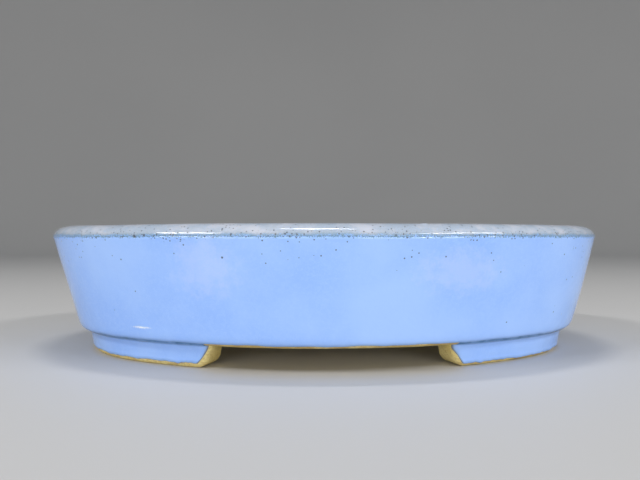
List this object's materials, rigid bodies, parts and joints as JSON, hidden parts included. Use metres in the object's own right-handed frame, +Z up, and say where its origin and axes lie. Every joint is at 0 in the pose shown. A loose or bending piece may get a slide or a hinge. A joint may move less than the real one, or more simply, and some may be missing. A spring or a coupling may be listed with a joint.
{
  "type": "bonsai pot",
  "caption": "Shallow oval planting tray with leaning glazed walls, an inturned rounded lip, drain and tie-wire holes, and cut feet.",
  "frame": {"origin": "on the standing surface, under the middle of the pot", "axes": "+X along the long axis of the oval, +Y to the back, +Z up"},
  "size_m": [0.28, 0.208, 0.0604],
  "materials": {
    "clay": "unglazed buff stoneware, fine grog",
    "wall_glaze": "glossy opaque light blue glaze",
    "lip_glaze": "glossy glaze, thin and pale on the lip"
  },
  "bodies": {
    "root": {"base_slab": "clay", "pot_wall": "clay", "seam_coil": "clay", "rim_lip": "clay", "foot_left": "clay", "foot_right": "clay", "glaze_wall": "wall_glaze", "glaze_lip": "lip_glaze", "glaze_foot_left": "wall_glaze", "glaze_foot_right": "wall_glaze"}
  },
  "joints": []
}
